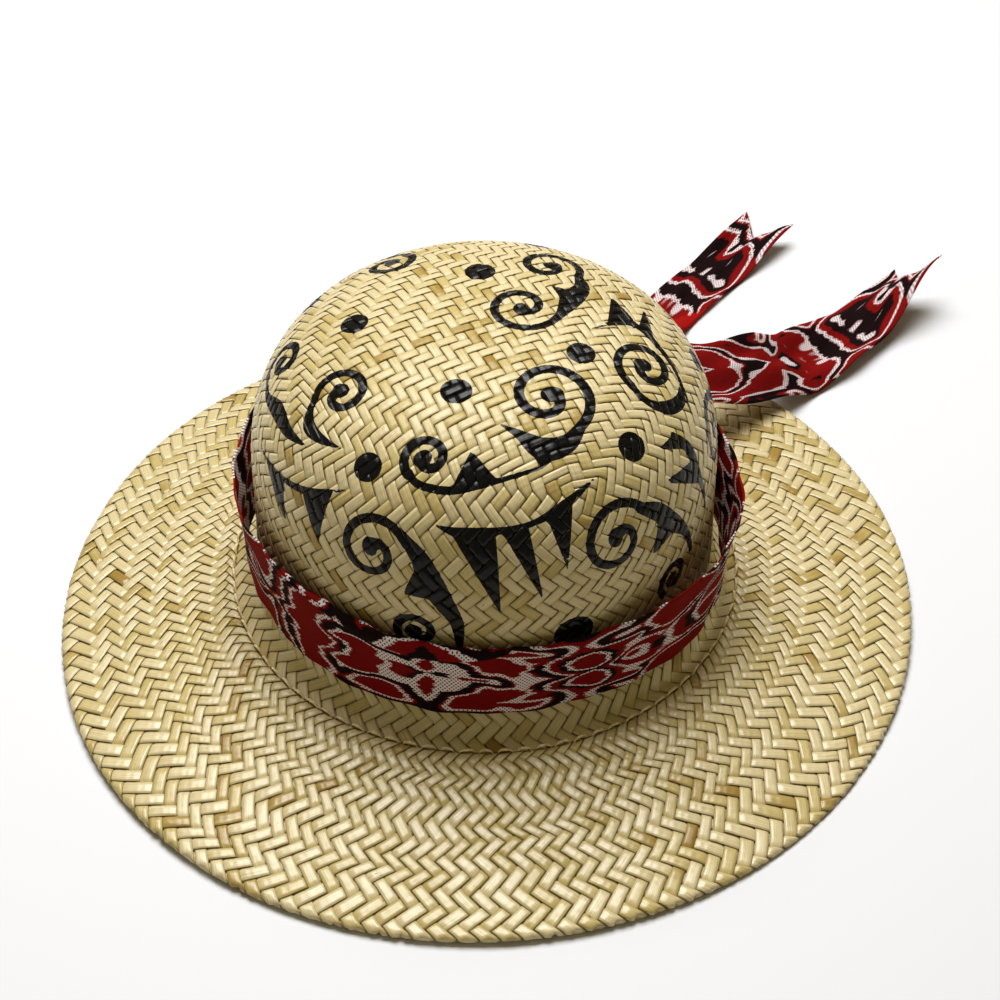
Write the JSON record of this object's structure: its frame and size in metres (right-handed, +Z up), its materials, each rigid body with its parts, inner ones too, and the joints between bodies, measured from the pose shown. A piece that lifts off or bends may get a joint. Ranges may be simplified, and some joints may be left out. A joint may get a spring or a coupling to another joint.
{
  "type": "straw sun hat",
  "caption": "Hand-woven straw sun hat with a rounded crown, a gently sloping round brim and a tied printed cloth band whose two tails trail behind.",
  "frame": {"origin": "on the hat's axis, in the middle of the head opening, at the height of the plane that the brim's edge rests on", "axes": "+Z up along the hat's axis, out of the top of the crown; -Y is the front of the hat, and the knot and its tails are at the back, towards +X and +Y"},
  "size_m": [0.3976, 0.4414, 0.1435],
  "materials": {
    "crown_straw": "flat natural straw strips, woven as a twill, with black hand-painted scrolls, satin",
    "brim_straw": "flat natural straw strips, woven as a twill, satin",
    "folded_straw": "straw strips folded over the edge and tucked back under, satin",
    "inner_cotton": "undyed woven cotton tape, matt",
    "thread": "straw-coloured stitching thread, matt",
    "printed_cotton": "deep red cotton with a feathered cream and black stripe print, matt"
  },
  "bodies": {
    "hat": {"crown": "crown_straw", "brim": "brim_straw", "brim_edge": "folded_straw", "sweatband": "inner_cotton", "seam_thread": "thread"},
    "ribbon": {"ribbon_band": "printed_cotton", "ribbon_knot": "printed_cotton"},
    "tail_left": {"ribbon_tail_left": "printed_cotton"},
    "tail_right": {"ribbon_tail_right": "printed_cotton"}
  },
  "joints": [
    {"name": "ribbon_lift", "type": "slide", "parent": "hat", "child": "ribbon", "axis": [0, 0, 1], "range_m": [0, 0.12]},
    {"name": "tail_left_lift", "type": "hinge", "parent": "ribbon", "child": "tail_left", "pos_m": [0.06458, 0.09019, 0.04378], "axis": [0.9135, -0.4067, 0], "range_deg": [0, 65]},
    {"name": "tail_right_lift", "type": "hinge", "parent": "ribbon", "child": "tail_right", "pos_m": [0.0776, 0.07926, 0.04378], "axis": [0.7314, -0.682, 0], "range_deg": [0, 65]}
  ]
}
